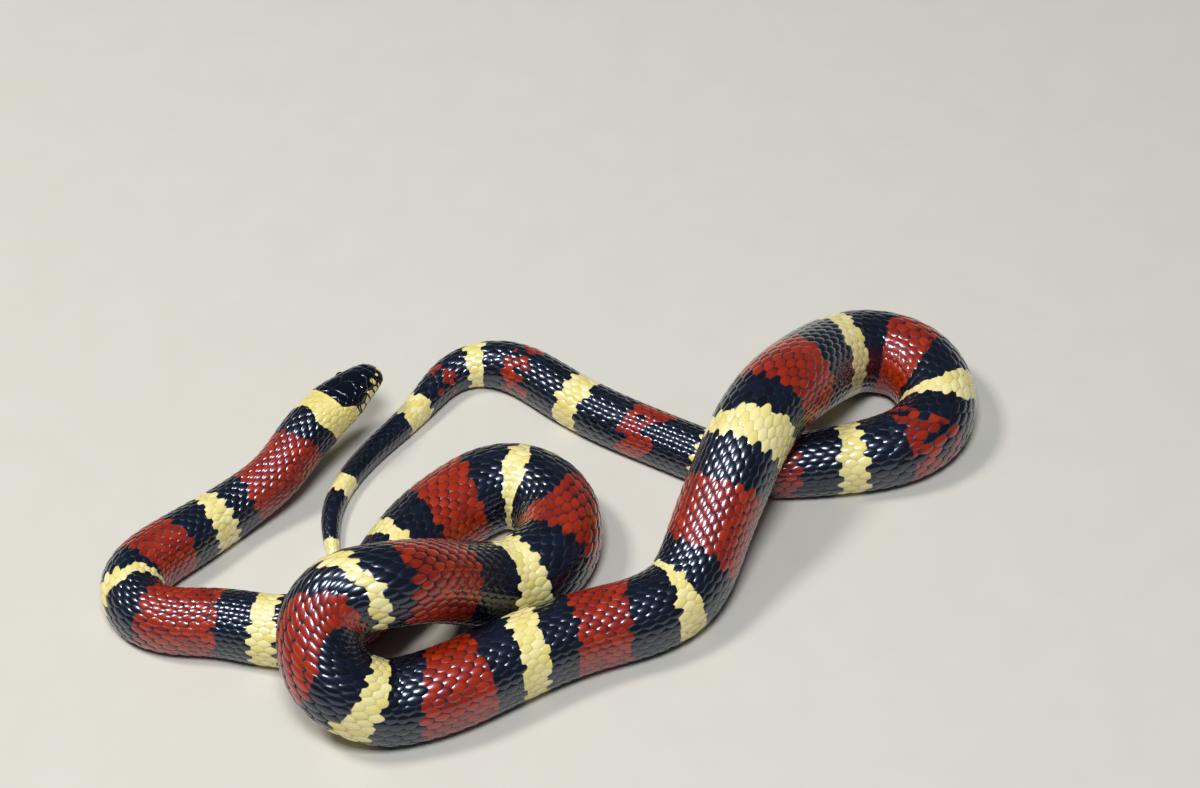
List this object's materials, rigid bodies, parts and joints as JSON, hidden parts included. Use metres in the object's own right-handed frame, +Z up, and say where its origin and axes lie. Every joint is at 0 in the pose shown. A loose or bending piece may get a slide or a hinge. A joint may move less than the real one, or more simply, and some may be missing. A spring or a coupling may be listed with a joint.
{
  "type": "milk snake model",
  "caption": "Still life-size model of a red, black and cream banded milk snake, loosely coiled on the ground with its head lifted a little.",
  "frame": {"origin": "on the floor under the middle of the coils", "axes": "+X along the longest side of the coiled animal, +Z up"},
  "size_m": [0.2758, 0.176, 0.051],
  "materials": {
    "body_scales": "smooth glossy scales in red, black and cream rings",
    "head_scales": "glossy black head shields with a cream-yellow nape",
    "jaw_scales": "smooth cream chin scales",
    "eye": "wet-looking dark eye"
  },
  "bodies": {
    "root": {"head": "head_scales", "lower_jaw": "jaw_scales", "eye_left": "eye", "eye_right": "eye", "neck": "body_scales", "torso_1": "body_scales", "torso_2": "body_scales", "torso_3": "body_scales", "torso_4": "body_scales", "torso_5": "body_scales", "torso_6": "body_scales", "torso_7": "body_scales", "torso_8": "body_scales", "torso_9": "body_scales", "torso_10": "body_scales", "torso_11": "body_scales", "torso_12": "body_scales", "torso_13": "body_scales", "tail_1": "body_scales", "tail_2": "body_scales"}
  },
  "joints": []
}
